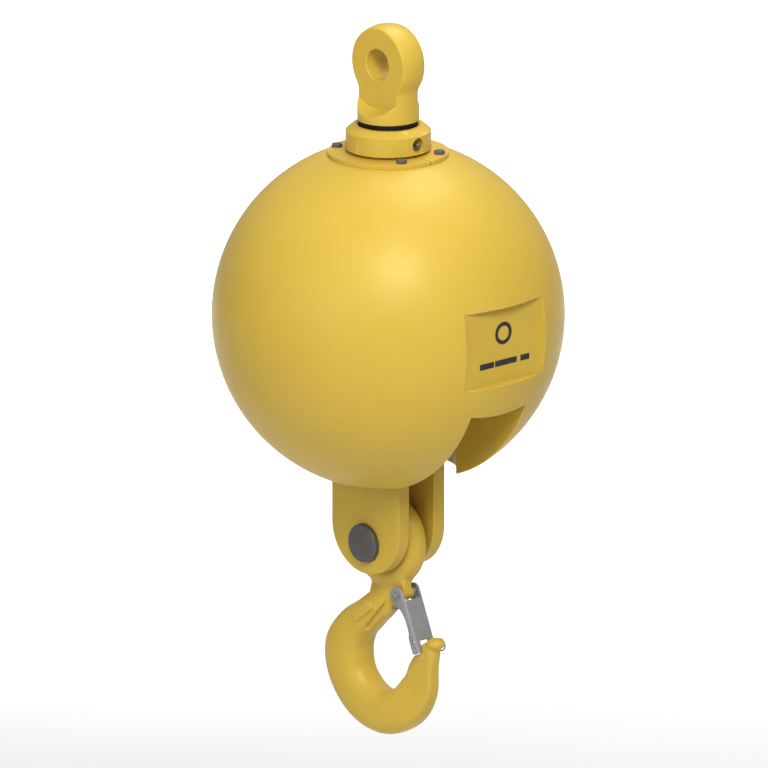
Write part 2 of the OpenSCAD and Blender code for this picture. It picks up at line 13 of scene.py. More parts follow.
import bmesh
import bpy
import numpy as np
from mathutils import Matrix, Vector


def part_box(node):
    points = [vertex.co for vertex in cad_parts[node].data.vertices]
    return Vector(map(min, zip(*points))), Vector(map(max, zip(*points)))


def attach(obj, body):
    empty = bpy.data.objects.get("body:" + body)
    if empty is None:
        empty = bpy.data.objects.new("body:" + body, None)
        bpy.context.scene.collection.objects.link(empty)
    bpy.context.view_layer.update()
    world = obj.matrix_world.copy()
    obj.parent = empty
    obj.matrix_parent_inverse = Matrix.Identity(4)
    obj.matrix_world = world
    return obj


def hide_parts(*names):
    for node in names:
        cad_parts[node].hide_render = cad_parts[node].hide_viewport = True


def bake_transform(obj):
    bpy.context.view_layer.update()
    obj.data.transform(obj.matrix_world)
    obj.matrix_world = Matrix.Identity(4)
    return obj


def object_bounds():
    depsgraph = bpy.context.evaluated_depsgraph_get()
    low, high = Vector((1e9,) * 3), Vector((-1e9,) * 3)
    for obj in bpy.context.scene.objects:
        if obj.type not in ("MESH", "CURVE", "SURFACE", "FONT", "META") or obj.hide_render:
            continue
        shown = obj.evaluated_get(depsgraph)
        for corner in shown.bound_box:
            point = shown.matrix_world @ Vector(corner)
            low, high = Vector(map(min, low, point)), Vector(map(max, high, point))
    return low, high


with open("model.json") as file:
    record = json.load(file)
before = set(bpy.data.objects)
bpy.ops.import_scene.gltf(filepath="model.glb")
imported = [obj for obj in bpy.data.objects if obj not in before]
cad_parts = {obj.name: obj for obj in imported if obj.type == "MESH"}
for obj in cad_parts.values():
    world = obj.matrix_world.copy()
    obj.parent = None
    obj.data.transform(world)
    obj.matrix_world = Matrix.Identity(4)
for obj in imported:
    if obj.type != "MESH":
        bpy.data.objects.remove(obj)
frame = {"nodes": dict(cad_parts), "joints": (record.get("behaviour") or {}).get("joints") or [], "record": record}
cad_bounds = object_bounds()

MM = 0.001
JOINTS = {j["name"]: j for j in frame["joints"]}
PIN_Z = JOINTS["hook_swing"]["pos_m"][2]
LATCH_PIVOT = Vector(JOINTS["latch_pivot"]["pos_m"])

# ---------------------------------------------------------------- camera, floor and light

AZIMUTH, ELEVATION = math.radians(45.57), math.radians(15.16)
CAMERA_DISTANCE = 24.0
SENSOR_WIDTH = 36
FRAME_WIDTH = 0.8688
AIM = Vector((0.0119, -0.0184, -0.3700))
FLOOR_SIZE = 120
FLOOR_DROP = 0.5

TOWARDS_CAMERA = Vector((
    math.sin(AZIMUTH) * math.cos(ELEVATION),
    -math.cos(AZIMUTH) * math.cos(ELEVATION),
    math.sin(ELEVATION),
))
TO_THE_RIGHT = Vector((math.cos(AZIMUTH), math.sin(AZIMUTH), 0))
UPWARDS = TOWARDS_CAMERA.cross(TO_THE_RIGHT)


def look_at(thing, direction):
    thing.rotation_euler = direction.to_track_quat("-Z", "Y").to_euler()


def add_camera():
    """A long lens at the photograph's viewing angle, FRAME_WIDTH metres wide at the object."""
    data = bpy.data.cameras.new("camera")
    data.sensor_width = SENSOR_WIDTH
    data.lens = SENSOR_WIDTH * CAMERA_DISTANCE / FRAME_WIDTH
    data.clip_end = 200
    camera = bpy.data.objects.new("camera", data)
    camera.location = AIM + CAMERA_DISTANCE * TOWARDS_CAMERA
    look_at(camera, -TOWARDS_CAMERA)
    bpy.context.scene.collection.objects.link(camera)
    bpy.context.scene.camera = camera


def as_seen(right, up, towards):
    """A direction given as the camera sees it: to the right, up and towards the camera."""
    return (right * TO_THE_RIGHT + up * UPWARDS + towards * TOWARDS_CAMERA).normalized()


def add_area_light(name, place, distance, size, power, facing=None):
    """A square lamp in the direction place from the object, which it faces unless told otherwise."""
    data = bpy.data.lights.new(name, "AREA")
    data.size = size
    data.energy = power
    lamp = bpy.data.objects.new(name, data)
    lamp.location = AIM + distance * as_seen(*place)
    look_at(lamp, as_seen(*facing) if facing else -as_seen(*place))
    bpy.context.scene.collection.objects.link(lamp)


def add_studio():
    """A pale floor, an even white world and four large soft lamps."""
    floor_z = cad_bounds[0].z - FLOOR_DROP
    bpy.ops.mesh.primitive_plane_add(size=FLOOR_SIZE, location=(0, 0, floor_z))
    floor = bpy.context.object
    floor.name = "studio_floor"
    floor.data.materials.append(floor_paint())
    world = bpy.data.worlds.new("studio")
    world.use_nodes = True
    background = world.node_tree.nodes["Background"]
    background.inputs["Color"].default_value = (1, 1, 1, 1)
    background.inputs["Strength"].default_value = 0.36
    bpy.context.scene.world = world
    bpy.context.scene.view_settings.view_transform = "Standard"
    add_area_light("key", (0.11, 0.47, 0.87), 3.0, 1.1, 70)
    add_area_light("top", (0.17, 0.98, -0.07), 2.4, 1.2, 27)
    add_area_light("backdrop", (0, 2.0, -4.5), 4.9, 5.0, 190, facing=(0, -0.9, -0.45))
    add_area_light("fill", (-0.6, 0.1, 0.79), 5.0, 3.0, 45)


# ---------------------------------------------------------------- materials


class Shader:
    """A material's node tree, with short names for the few nodes used here."""

    def __init__(self, name):
        self.material = bpy.data.materials.new(name)
        self.material.use_nodes = True
        self.tree = self.material.node_tree
        self.surface = self.tree.nodes["Principled BSDF"]
        self.place = self.tree.nodes.new("ShaderNodeTexCoord").outputs["Object"]

    def node(self, kind, **settings):
        made = self.tree.nodes.new(kind)
        for key, value in settings.items():
            setattr(made, key, value)
        return made

    def link(self, source, target):
        self.tree.links.new(source, target)

    def set(self, **values):
        for key, value in values.items():
            self.surface.inputs[key.replace("_", " ")].default_value = value

    def noise(self, scale, detail=3.0, stretch=None):
        """Noise from 0 to 1 with about scale features to the metre."""
        made = self.node("ShaderNodeTexNoise")
        made.inputs["Scale"].default_value = scale
        made.inputs["Detail"].default_value = detail
        place = self.place
        if stretch:
            mapping = self.node("ShaderNodeMapping")
            mapping.inputs["Scale"].default_value = stretch
            self.link(place, mapping.inputs["Vector"])
            place = mapping.outputs["Vector"]
        self.link(place, made.inputs["Vector"])
        return made.outputs["Fac"]

    def ramp(self, source, stops):
        """Maps a value through (position, colour or number) stops."""
        made = self.node("ShaderNodeValToRGB")
        while len(made.color_ramp.elements) < len(stops):
            made.color_ramp.elements.new(0.5)
        for element, (position, colour) in zip(made.color_ramp.elements, stops):
            element.position = position
            element.color = (*colour, 1) if hasattr(colour, "__len__") else (colour,) * 3 + (1,)
        self.link(source, made.inputs["Fac"])
        return made.outputs["Color"]

    def mix(self, factor, first, second, blend="MIX"):
        made = self.node("ShaderNodeMix", data_type="RGBA", blend_type=blend)
        self.link(factor, made.inputs["Factor"])
        for value, socket in ((first, made.inputs["A"]), (second, made.inputs["B"])):
            if hasattr(value, "links"):
                self.link(value, socket)
            else:
                socket.default_value = (*value, 1)
        return made.outputs["Result"]

    def edges(self, low, high):
        """1 on outer edges and 0 elsewhere: rubbed wear on steel, thin paint and a painted highlight on enamel."""
        pointiness = self.node("ShaderNodeNewGeometry").outputs["Pointiness"]
        return self.ramp(pointiness, [(low, 0.0), (high, 1.0)])

    def bump(self, height, distance, strength=1.0):
        made = self.node("ShaderNodeBump")
        made.inputs["Distance"].default_value = distance
        made.inputs["Strength"].default_value = strength
        self.link(height, made.inputs["Height"])
        self.link(made.outputs["Normal"], self.surface.inputs["Normal"])


def floor_paint():
    """Pale matt studio floor with a faint mottle."""
    s = Shader("studio_floor")
    colour = s.ramp(s.noise(1.5), [(0.3, (0.77, 0.77, 0.77)), (0.7, (0.80, 0.80, 0.80))])
    s.link(colour, s.surface.inputs["Base Color"])
    s.set(Roughness=0.9)
    return s.material


def enamel(name, peel):
    """Sprayed yellow enamel: a faint drift in shade, fine orange peel, and edges painted lighter, both for thin
    paint and as a painted highlight.
    """
    s = Shader(name)
    shade = s.ramp(s.noise(7, 4), [(0.3, (0.585, 0.393, 0.050)), (0.7, (0.615, 0.417, 0.056))])
    # Edges are painted a paler yellow: thin paint, and a painted highlight where rounded edges catch the light
    thin_paint_and_highlight = s.edges(0.53, 0.62)
    s.link(s.mix(thin_paint_and_highlight, shade, (0.70, 0.50, 0.10)), s.surface.inputs["Base Color"])
    rough = s.ramp(s.noise(45, 5), [(0.3, 0.38), (0.7, 0.45)])
    s.link(rough, s.surface.inputs["Roughness"])
    s.set(Specular_IOR_Level=0.42, Specular_Tint=(1, 0.88, 0.55, 1))
    s.bump(s.noise(peel, 2), 0.00012, 0.12)
    return s.material


def steel(name, colour, roughness, metal, grain=(1, 1, 1), grain_scale=300, worn=(0.42, 0.42, 0.42)):
    """Bare or plated steel with a drawn grain, faint blotches and bright rubbed edges."""
    s = Shader(name)
    dark = tuple(0.86 * c for c in colour)
    blotch = s.ramp(s.noise(55, 4), [(0.3, dark), (0.7, colour)])
    s.link(s.mix(s.edges(0.53, 0.60), blotch, worn), s.surface.inputs["Base Color"])
    lines = s.noise(grain_scale, 4, grain)
    rough = s.ramp(lines, [(0.25, roughness - 0.08), (0.75, roughness + 0.08)])
    s.link(rough, s.surface.inputs["Roughness"])
    s.set(Metallic=metal)
    s.bump(lines, 0.00004, 0.2)
    return s.material


def rubber():
    """Matt moulded rubber with fine grain and a dusty bloom."""
    s = Shader("seal_rubber")
    bloom = s.ramp(s.noise(70, 5), [(0.35, (0.003, 0.003, 0.005)), (0.7, (0.007, 0.007, 0.011))])
    s.link(bloom, s.surface.inputs["Base Color"])
    grain = s.noise(2500, 2)
    s.link(s.ramp(grain, [(0.2, 0.55), (0.8, 0.75)]), s.surface.inputs["Roughness"])
    s.set(Specular_IOR_Level=0.25)
    s.bump(grain, 0.00005, 0.5)
    return s.material


def bronze():
    """Turned bearing bronze with fine tool rings."""
    s = Shader("bearing_bronze")
    tone = s.ramp(s.noise(60, 3), [(0.3, (0.42, 0.24, 0.09)), (0.7, (0.58, 0.37, 0.16))])
    s.link(tone, s.surface.inputs["Base Color"])
    rings = s.noise(900, 2, (0.05, 0.05, 1))
    s.link(s.ramp(rings, [(0.2, 0.25), (0.8, 0.42)]), s.surface.inputs["Roughness"])
    s.set(Metallic=1.0)
    s.bump(rings, 0.00004, 0.4)
    return s.material


def ink():
    """Black stencil paint, slightly uneven where it was sprayed through the mask."""
    s = Shader("stencil_black")
    tone = s.ramp(s.noise(300, 5), [(0.3, (0.008, 0.008, 0.010)), (0.75, (0.03, 0.03, 0.032))])
    s.link(tone, s.surface.inputs["Base Color"])
    grain = s.noise(900, 3)
    s.link(s.ramp(grain, [(0.2, 0.42), (0.8, 0.6)]), s.surface.inputs["Roughness"])
    s.bump(grain, 0.00004, 0.4)
    return s.material


FINISHES = {
    "ball_paint": enamel("ball_enamel", 260),
    "yellow_paint": enamel("forging_enamel", 340),
    "plated_steel": steel("zinc_plate", (0.325, 0.322, 0.318), 0.45, 0.25, (1, 1, 8), 90),
    "bright_steel": steel("ground_steel", (0.52, 0.52, 0.51), 0.28, 0.9, worn=(0.62, 0.61, 0.60)),
    "dark_steel": steel("black_oxide", (0.115, 0.112, 0.110), 0.45, 0.35, worn=(0.19, 0.19, 0.20)),
    "spring_steel": steel("spring_wire", (0.24, 0.24, 0.25), 0.36, 0.7, (1, 1, 6), 400),
    "bronze": bronze(),
    "black_rubber": rubber(),
}

# ---------------------------------------------------------------- fields and their meshes

# A field takes points, one to a row, and gives one number for each, about the distance to the
# surface and negative inside. What follows joins such numbers into shapes, then meshes them.

MARGIN_CELLS = 1.5
RELAX_SHARE = 0.6


def both(a, b, r=0.0):
    """What is inside a and inside b, with the edge between them rounded to radius r."""
    sharp = np.maximum(a, b)
    if r == 0:
        return sharp
    return np.minimum(-r, sharp) + np.hypot(np.maximum(r + a, 0), np.maximum(r + b, 0))


def either(a, b, r=0.0):
    """What is inside a or inside b, with a fillet of radius r where they meet."""
    return -both(-a, -b, r)


def less(a, b, r=0.0):
    """What is inside a but outside b, with the rim rounded to radius r."""
    return both(a, -b, r)


def sphere(p, centre, radius):
    return np.linalg.norm(p - np.array(centre), axis=1) - radius


def ellipsoid(p, centre, half):
    """An ellipsoid of the half sizes given, as a distance that is right near its surface."""
    level = np.linalg.norm((p - centre) / half, axis=1)
    steepness = np.linalg.norm((p - centre) / half ** 2, axis=1)
    return level * (level - 1) / np.maximum(steepness, 1)


def between(values, low, high):
    """The slab where values lie from low to high."""
    return np.maximum(low - values, values - high)


def round_bar(p, radius, low, high, r):
    """A bar round the Z axis from low to high, with its two rims rounded to radius r."""
    return both(np.hypot(p[:, 0], p[:, 1]) - radius, between(p[:, 2], low, high), r)


def slope(field, points, step=0.02 * MM):
    """The field's gradient, which points straight out of the surface."""
    found = np.empty_like(points)
    for axis in range(3):
        shift = np.zeros(3)
        shift[axis] = step
        found[:, axis] = (field(points + shift) - field(points - shift)) / (2 * step)
    return found


def settle(field, points, reach, rounds=3):
    """Moves points straight onto the field's surface, by at most reach a round."""
    for _ in range(rounds):
        gradient = slope(field, points)
        size = np.maximum((gradient ** 2).sum(1), 0.2)
        move = gradient * (field(points) / size)[:, None]
        length = np.maximum(np.linalg.norm(move, axis=1), 1e-12)
        points = points - move * np.minimum(1, reach / length)[:, None]
    return points


def net(field, low, high, cell):
    """Points near the field's surface, one in each grid cell that it crosses, joined by quads."""
    margin = MARGIN_CELLS * cell
    axes = [np.arange(a - margin, b + margin + cell, cell) for a, b in zip(low, high)]
    grid = np.stack(np.meshgrid(*axes, indexing="ij"), -1)
    inside = np.concatenate([field(part.reshape(-1, 3)) < 0 for part in grid]).reshape(grid.shape[:3])
    cells = np.array(inside.shape) - 1
    count = np.zeros(cells, int)
    for shift in np.ndindex(2, 2, 2):
        count += inside[tuple(slice(s, s + n) for s, n in zip(shift, cells))]
    crossed = (count > 0) & (count < 8)  # some of the cell's eight corners are inside, not all
    number = np.full(cells, -1)
    number[crossed] = np.arange(crossed.sum())
    points = grid[:-1, :-1, :-1][crossed] + cell / 2
    quads = []
    for axis in range(3):
        first, second = np.eye(3, dtype=int)[[(axis + 1) % 3, (axis + 2) % 3]]
        near = np.take(inside, range(inside.shape[axis] - 1), axis)
        far = np.take(inside, range(1, inside.shape[axis]), axis)
        at = np.argwhere(near != far)
        outward = near[tuple(at.T)]
        corners = [number[tuple((at - s).T)] for s in (first + second, second, 0 * first, first)]
        quad = np.stack(corners, 1)
        quads.append(np.where(outward[:, None], quad, quad[:, ::-1]))
    return points, np.concatenate(quads)


def relax(field, points, quads, reach, rounds=3):
    """Evens out the quads: each point moves towards the middle of its neighbours."""
    ends = np.concatenate([quads[:, [k, (k + 1) % 4]] for k in range(4)])
    ends = np.concatenate([ends, ends[:, ::-1]])
    degree = np.bincount(ends[:, 0], minlength=len(points))[:, None]
    for _ in range(rounds):
        total = np.stack([
            np.bincount(ends[:, 0], points[ends[:, 1], k], len(points)) for k in range(3)], 1)
        evened = (1 - RELAX_SHARE) * points + RELAX_SHARE * total / degree
        points = settle(field, evened, reach, 2)
    return points


def places(vertices):
    return np.array([v.co for v in vertices])


def unit(vectors):
    return vectors / np.maximum(np.linalg.norm(vectors, axis=1), 1e-12)[:, None]


def split_where_curved(bm, field, turn, finest, rounds):
    """Halves each edge over which the surface turns by more than turn degrees."""
    limit = math.cos(math.radians(turn))
    for _ in range(rounds):
        points = places(bm.verts)
        normals = unit(slope(field, points))
        bm.verts.index_update()
        ends = np.array([[v.index for v in e.verts] for e in bm.edges])
        length = np.linalg.norm(points[ends[:, 0]] - points[ends[:, 1]], axis=1)
        turned = (normals[ends[:, 0]] * normals[ends[:, 1]]).sum(1) < limit
        chosen = np.flatnonzero(turned & (length > 2 * finest))
        if not len(chosen):
            return
        bm.edges.ensure_lookup_table()
        bmesh.ops.subdivide_edges(
            bm, edges=[bm.edges[i] for i in chosen], cuts=1, use_grid_fill=True)
        settled = settle(field, places(bm.verts), finest * 3, 2)
        for vertex, place in zip(bm.verts, settled):
            vertex.co = place


def solid(name, field, low, high, cell, turn, finest, rounds):
    """A closed mesh of the field's surface, fine where it curves, with exact normals.

    The mesh starts with quads about one cell wide. Each of the rounds then halves the edges
    that are longer than twice finest and over which the surface turns by more than turn degrees.
    """
    points, quads = net(field, low, high, cell)
    points = settle(field, points, cell / 2)
    points = relax(field, points, quads, cell / 2)
    mesh = bpy.data.meshes.new(name)
    mesh.from_pydata(points.tolist(), [], quads.tolist())
    bm = bmesh.new()
    bm.from_mesh(mesh)
    split_where_curved(bm, field, turn, finest, rounds)
    # Halved edges can leave a corner with only two faces, which would fold onto each other
    between_two_faces = [v for v in bm.verts if len(v.link_edges) == 2]
    bmesh.ops.dissolve_verts(bm, verts=between_two_faces)
    bmesh.ops.triangulate(bm, faces=[f for f in bm.faces if len(f.verts) > 4])
    bm.to_mesh(mesh)
    bm.free()
    mesh.shade_smooth()
    outward = unit(slope(field, places(mesh.vertices)))
    mesh.normals_split_custom_set_from_vertices(outward.tolist())
    made = bpy.data.objects.new(name, mesh)
    bpy.context.scene.collection.objects.link(made)
    return made


def stand_in(piece, node, body, slot):
    """Puts piece in a CAD node's place, on its body and with its finish."""
    piece.data.materials.clear()
    piece.data.materials.append(FINISHES[slot])
    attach(piece, body)
    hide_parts(node)


# ---------------------------------------------------------------- ball

# Here and below, sizes that the frame doesn't give repeat those of the CAD source

BALL_LOW, BALL_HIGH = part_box("ball_weight")
BALL_R = -BALL_LOW.x
BALL_FLAT_UP = 186 * MM
BALL_Z = BALL_HIGH.z - BALL_FLAT_UP
PANEL_X = 185 * MM
PANEL_HALF = (61.7 * MM, 44.3 * MM)
SLOT_HALF = 43.3 * MM
SLOT_SAG = 3.5 * MM
CEILING_CORNER_R = 3 * MM
CAVITY_R = 78.2 * MM
CROWN_Z = BALL_Z - 79.8 * MM
RING_SEAT_R = 66.4 * MM
RING_SEAT_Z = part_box("retaining_ring_front")[0].z - 0.4 * MM
BARREL_HOLE_R = 51 * MM


def ball_field(p):
    x, y, z = p.T
    from_axis = np.hypot(x, y)
    shape = sphere(p, (0, 0, BALL_Z), BALL_R)
    shape = both(shape, z - BALL_HIGH.z, 1.5 * MM)
    shape = less(shape, both(from_axis - RING_SEAT_R, RING_SEAT_Z - z), 0.6 * MM)
    shape = less(shape, from_axis - BARREL_HOLE_R, 1.5 * MM)
    cavity = both(from_axis - CAVITY_R, z - CROWN_Z, CEILING_CORNER_R)
    slot_ceiling = CROWN_Z - SLOT_SAG * np.maximum(1 - (y / SLOT_HALF) ** 2, 0)
    slot = both(both(np.abs(y) - SLOT_HALF, -x), z - slot_ceiling, CEILING_CORNER_R)
    shape = less(shape, either(cavity, slot, 1 * MM), 1.4 * MM)
    panel = both(np.abs(y) - PANEL_HALF[0], np.abs(z - BALL_Z) - PANEL_HALF[1], 1 * MM)
    panel = both(panel, PANEL_X - x, 0.5 * MM)
    return less(shape, panel, 0.7 * MM)


def make_ball():
    ball = solid("ball_casting", ball_field, BALL_LOW, BALL_HIGH, 5.5 * MM, 6, 0.45 * MM, 4)
    stand_in(ball, "ball_weight", "swivel_body", "ball_paint")


# ---------------------------------------------------------------- top eye

EYE_R = 45 * MM
EYE_FLAT = 17.2 * MM
EYE_BORE_R = 18 * MM
SHANK_R = 35.2 * MM
SHANK_Z = -65.8 * MM
FLAT_R = 52 * MM
FLARE = 9.8 / 30  # how fast the cut beside each flat widens outwards
JOURNAL_R = 25 * MM
JOURNAL_Z = -116 * MM
STEM_R = 22.5 * MM
STEM_Z = -194 * MM
OVERLAP = 5 * MM


def eye_field(p):
    x, y, z = p.T
    shape = sphere(p, (0, 0, 0), EYE_R)
    shape = either(shape, round_bar(p, SHANK_R, SHANK_Z, 0, 1 * MM), 3 * MM)
    journal = round_bar(p, JOURNAL_R, JOURNAL_Z, SHANK_Z + OVERLAP, 0.5 * MM)
    stem = round_bar(p, STEM_R, STEM_Z, JOURNAL_Z + OVERLAP, 1.5 * MM)
    shape = either(either(shape, journal, 0.5 * MM), stem, 1 * MM)
    beyond = np.abs(y) - EYE_FLAT
    flare_slope = math.hypot(1, FLARE)
    spot_face = both((np.hypot(x, z) - FLAT_R - FLARE * beyond) / flare_slope, -beyond, 0.8 * MM)
    shape = less(shape, spot_face, 1.2 * MM)
    return less(shape, np.hypot(x, z) - EYE_BORE_R, 1.1 * MM)


def make_top_eye():
    low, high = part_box("swivel_eye")
    eye = solid("top_eye_forging", eye_field, low, high, 3.2 * MM, 7, 0.4 * MM, 3)
    stand_in(eye, "swivel_eye", "top_eye", "yellow_paint")


# ---------------------------------------------------------------- clevis

CLEVIS_LOW, CLEVIS_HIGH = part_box("clevis_body")
EAR_HALF = 54.25 * MM
EAR_FACE = 36.9 * MM
EAR_GAP_HALF = 19.5 * MM
EAR_EDGE_R = 1.6 * MM
EAR_ROUND_Z = CLEVIS_LOW.z + EAR_HALF
CROTCH_Z = BALL_Z - 150 * MM
BARREL_R = 50 * MM
CHAMBER_R = 38 * MM
CHAMBER_Z = -202 * MM
THREAD_R = 40 * MM
THREAD_Z = -142 * MM
PIN_HOLE_R = 22.28 * MM


def clevis_field(p):
    x, y, z = p.T
    round_end = np.where(z < EAR_ROUND_Z, np.hypot(x, z - EAR_ROUND_Z) - EAR_HALF, np.abs(x) - EAR_HALF)
    ears = both(both(round_end, np.abs(y) - EAR_FACE, EAR_EDGE_R), z - CROWN_Z, EAR_EDGE_R)
    barrel = round_bar(p, BARREL_R, CROWN_Z - 10 * MM, CLEVIS_HIGH.z, 1 * MM)
    shape = either(ears, barrel, 3 * MM)
    crotch = np.where(z > CROTCH_Z - EAR_GAP_HALF, np.hypot(y, z - CROTCH_Z + EAR_GAP_HALF), np.abs(y))
    shape = less(shape, crotch - EAR_GAP_HALF, EAR_EDGE_R)
    from_axis = np.hypot(x, y)
    shape = less(shape, both(from_axis - THREAD_R, THREAD_Z - z), 1 * MM)
    shape = less(shape, both(from_axis - CHAMBER_R, CHAMBER_Z - z, 2 * MM), 0.5 * MM)
    return less(shape, np.hypot(x, z - PIN_Z) - PIN_HOLE_R, 0.6 * MM)


def make_clevis():
    clevis = solid("clevis_forging", clevis_field, CLEVIS_LOW, CLEVIS_HIGH, 4.5 * MM, 7, 0.45 * MM, 4)
    stand_in(clevis, "clevis_body", "swivel_body", "yellow_paint")


# ---------------------------------------------------------------- hook

# Along the hook's centre line: x, z from the clevis pin, half width in the hook's plane,
# half thickness along Y (all mm), and how square the section is
HOOK_STATIONS = np.array([
    [0, -46, 17.5, 7, 2.2],
    [-2, -60, 20, 14.5, 2.2],
    [-7, -76, 18.4, 18.5, 2.3],
    [-27.3, -94.6, 19.4, 20.5, 2.4],
    [-50.4, -115, 23.3, 22.5, 2.5],
    [-63, -142, 28.6, 23.5, 2.5],
    [-56.2, -173, 27.5, 23.5, 2.5],
    [-31.2, -198, 26.8, 23, 2.5],
    [1, -205.8, 25.6, 22, 2.5],
    [31.6, -193.2, 24.4, 17, 3.2],
    [51.2, -168.8, 22.4, 10.2, 5.5],
    [57.6, -147, 18.4, 9, 6],
    [62, -135, 15.2, 8.8, 5],
    [66.3, -126, 12.8, 9.2, 3.5],
    [70.3, -119, 10.8, 9.4, 2.4],
    [73.5, -114, 8.5, 8.6, 2],
]) * [MM, MM, MM, MM, 1]
STEPS_PER_STATION = 20
NEWTON_ROUNDS = 4
POINTS_AT_ONCE = 20000
EYE_TUBE_R = 15 * MM
HOOK_EYE_R = 40 * MM
HOOK_DROP = 2.475 * MM
LUG_Y = (-10 * MM, 3 * MM)
# x and z from the clevis pin, mm
LUG_OUTLINE = [(0, -40), (33, -40), (35.2, -46), (35.2, -61), (32, -67), (27, -68), (15.3, -82.5),
               (5, -91.5), (-6, -85)]
KNOB_CENTRE = np.array([77.3, 0, -110.9]) * MM
KNOB_HALF = np.array([9.7, 10.4, 6.8]) * MM
BOSS_R = 7.2 * MM
BOSS_Y = (-11.5 * MM, 7 * MM)

# Latch frame: n points out of the latch's web and u runs down along it from its pivot
LATCH_TILT = math.radians(22)
LATCH_N = np.array([math.cos(LATCH_TILT), math.sin(LATCH_TILT)])
LATCH_U = np.array([math.sin(LATCH_TILT), -math.cos(LATCH_TILT)])
WEB_N = 11.1 * MM
LATCH_END_U = 70 * MM
NIB_HALF = 6.9 * MM
NIB_N = 4.6 * MM
NIB_U = (LATCH_END_U - 8.5 * MM, LATCH_END_U + 1 * MM)
NIB_DEEP = 16 * MM
SHOULDER_N, SHOULDER_U, SHOULDER_HALF = (-4.5 * MM, 12 * MM), (70 * MM, 78 * MM), 9.2 * MM
SEAT_GAP = 0.4 * MM
SEAT_BACK_N = -8 * MM
SEAT_TOP_U = LATCH_END_U - 19 * MM
SEAT_REACH = 71.15 * MM
NOTCH_HALF = NIB_HALF + 0.5 * MM
NOTCH_U = (51.5 * MM, 61.5 * MM)
LOCK_N, LOCK_U, LOCK_R = 5.9 * MM, 66.5 * MM, 3.4 * MM
PIVOT_HOLE_R = 3 * MM

# The pocket beside the latch lug, and the raised size pad, on the hook's -Y side
POCKET_FLOOR_Y = -11.5 * MM
POCKET_WIDE, POCKET_LONG = 16 * MM, 66 * MM
POCKET_EDGE = (np.array([17.2, -62.9]) * MM, np.array([-22.5, -108.6]) * MM)
PAD_CENTRE = np.array([-21.5, -88]) * MM
PAD_HALF = (16.6 * MM, 5.7 * MM)
PAD_FACE_Y = -22.3 * MM
PAD_ANGLE = math.radians(219.6)


def smooth_line(stations, steps):
    """A Catmull-Rom curve through the stations."""
    padded = np.vstack([stations[:1], stations, stations[-1:]])
    t = (np.arange(steps) / steps)[:, None]
    rows = []
    for a, b, c, d in zip(padded, padded[1:], padded[2:], padded[3:]):
        rows.append(0.5 * (2 * b + (c - a) * t + (2 * a - 5 * b + 4 * c - d) * t ** 2
                           + (3 * b - a - 3 * c + d) * t ** 3))
    return np.vstack(rows + [stations[-1:]])


HOOK_LINE = smooth_line(HOOK_STATIONS, STEPS_PER_STATION)
HOOK_HEADING = unit(np.gradient(HOOK_LINE[:, :2], axis=0))


def share_of_step(away, run, first, second):
    """How far along a step of the line the plane through a point and square to the line lies."""
    share = np.clip((away * run).sum(1) / (run ** 2).sum(1), -0.5, 1.5)
    for _ in range(NEWTON_ROUNDS):
        rest = away - share[:, None] * run
        heading = first + share[:, None] * (second - first)
        rate = (rest * (second - first)).sum(1) - (run * heading).sum(1)
        share = share - (rest * heading).sum(1) / np.minimum(rate, -0.1 * np.linalg.norm(run, axis=1))
        share = np.clip(share, -0.5, 1.5)
    return share


def sweep_field(p):
    """The hook's body: a squared ellipse swept along its centre line, in the hook's frame.

    Each point is measured from the two steps of the line beside its nearest station, and the
    step whose square plane passes closer to the point gives the section there.
    """
    flat = p[:, [0, 2]]
    nearest = np.concatenate([
        ((part[:, None] - HOOK_LINE[None, :, :2]) ** 2).sum(2).argmin(1)
        for part in np.array_split(flat, max(1, len(flat) // POINTS_AT_ONCE))])
    best = np.full(len(p), np.inf)
    gap = np.empty(len(p))
    rows = np.empty((len(p), 5))
    for start in (np.maximum(nearest - 1, 0), np.minimum(nearest, len(HOOK_LINE) - 2)):
        a, b = HOOK_LINE[start], HOOK_LINE[start + 1]
        run = b[:, :2] - a[:, :2]
        free = share_of_step(flat - a[:, :2], run, HOOK_HEADING[start], HOOK_HEADING[start + 1])
        share = np.clip(free, 0, 1)
        here = a + share[:, None] * (b - a)
        reach = np.linalg.norm(flat - here[:, :2], axis=1)
        score = reach + np.abs(free - share) * np.linalg.norm(run, axis=1)
        closer = score < best
        best = np.where(closer, score, best)
        gap = np.where(closer, reach, gap)
        rows[closer] = here[closer]
    across, thick, power = rows[:, 2], rows[:, 3], rows[:, 4]
    u, v = gap / across, np.abs(p[:, 1]) / thick
    total = np.maximum(u ** power + v ** power, 1e-9)
    level = total ** (1 / power)
    steepness = total ** (1 / power - 1) * np.hypot(u ** (power - 1) / across, v ** (power - 1) / thick)
    return (level - 1) / np.maximum(steepness, 0.3 / across)


def polygon_field(u, v, outline):
    """Distance from a closed outline of (u, v) points, negative inside it."""
    outline = np.array(outline) * MM
    nearest = np.full(len(u), np.inf)
    inside = np.zeros(len(u), bool)
    for (ax, ay), (bx, by) in zip(outline, np.roll(outline, -1, axis=0)):
        ex, ey = bx - ax, by - ay
        share = np.clip(((u - ax) * ex + (v - ay) * ey) / (ex * ex + ey * ey), 0, 1)
        nearest = np.minimum(nearest, np.hypot(u - ax - share * ex, v - ay - share * ey))
        crosses = ((ay > v) != (by > v)) & (u < ax + ex * (v - ay) / np.where(ey == 0, 1, ey))
        inside ^= crosses
    return np.where(inside, -nearest, nearest)


def in_latch_frame(world):
    """Points as n out of the latch's web, y along its pivot, and u down from the pivot."""
    away = world[:, [0, 2]] - np.array([LATCH_PIVOT.x, LATCH_PIVOT.z])
    return np.stack([away @ LATCH_N, world[:, 1], away @ LATCH_U], 1)


